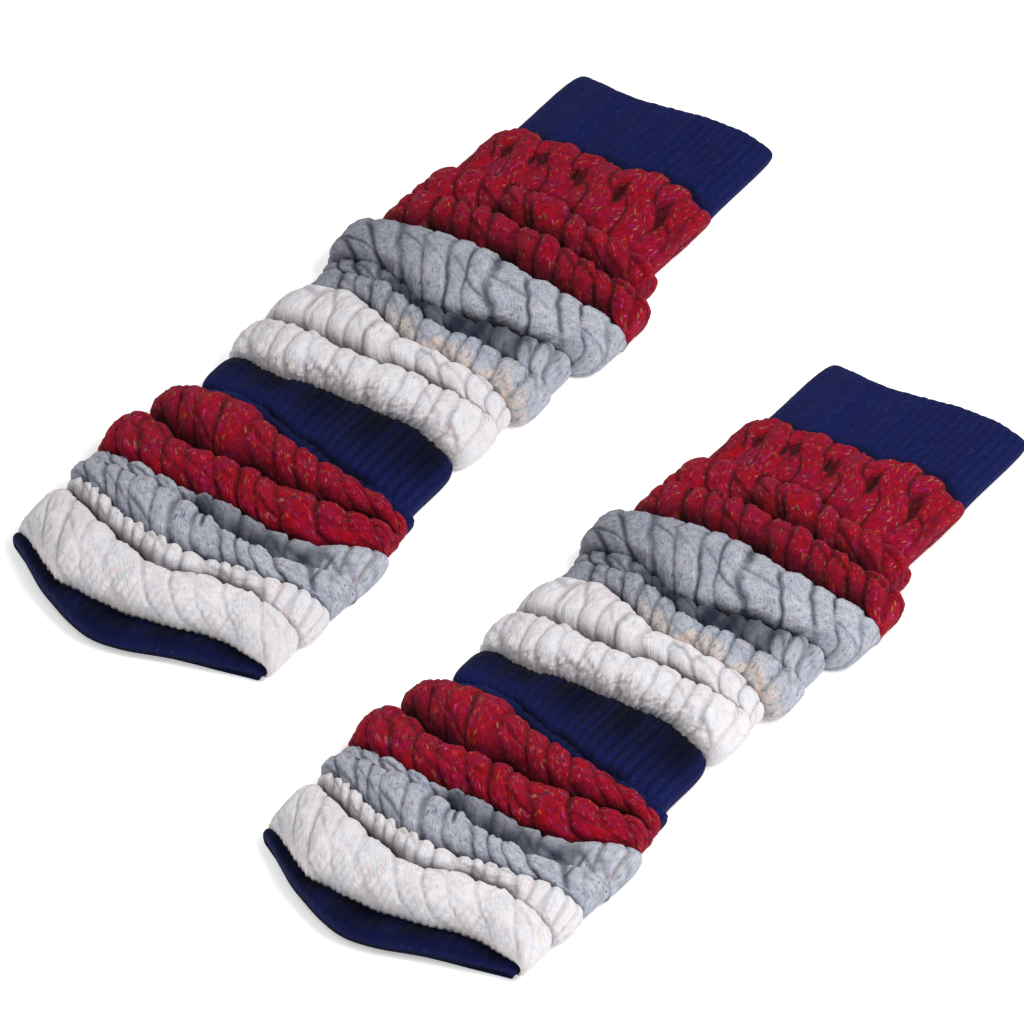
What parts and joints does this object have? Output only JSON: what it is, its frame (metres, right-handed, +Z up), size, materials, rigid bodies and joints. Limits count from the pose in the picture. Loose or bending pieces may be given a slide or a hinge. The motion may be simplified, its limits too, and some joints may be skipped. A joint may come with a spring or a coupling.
{
  "type": "pair of footless over-the-knee socks",
  "caption": "Footless cable-knit over-the-knee socks in navy, white, grey and red bands, pushed into soft folds and laid flat side by side.",
  "frame": {"origin": "on the surface that the socks lie on, under the middle of the box round the pair", "axes": "+X across the socks, from the left sock to the right one; +Y along them, from the hems to the cuffs; +Z up"},
  "size_m": [0.3406, 0.5144, 0.0314],
  "materials": {
    "wool_navy": "ribbed knit, dark navy, matt with a soft nap",
    "wool_white": "cable knit, off-white with pink and grey flecks, matt",
    "wool_grey": "cable knit, light grey marl with dark and coloured flecks, matt",
    "wool_red": "cable knit, red tweed with many small coloured flecks, matt"
  },
  "bodies": {
    "root": {"left_hem": "wool_navy", "left_white_low": "wool_white", "left_grey_low": "wool_grey", "left_red_low": "wool_red", "left_rib_mid": "wool_navy", "left_white_up": "wool_white", "left_grey_up": "wool_grey", "left_red_up": "wool_red", "left_cuff": "wool_navy", "right_hem": "wool_navy", "right_white_low": "wool_white", "right_grey_low": "wool_grey", "right_red_low": "wool_red", "right_rib_mid": "wool_navy", "right_white_up": "wool_white", "right_grey_up": "wool_grey", "right_red_up": "wool_red", "right_cuff": "wool_navy"}
  },
  "joints": []
}
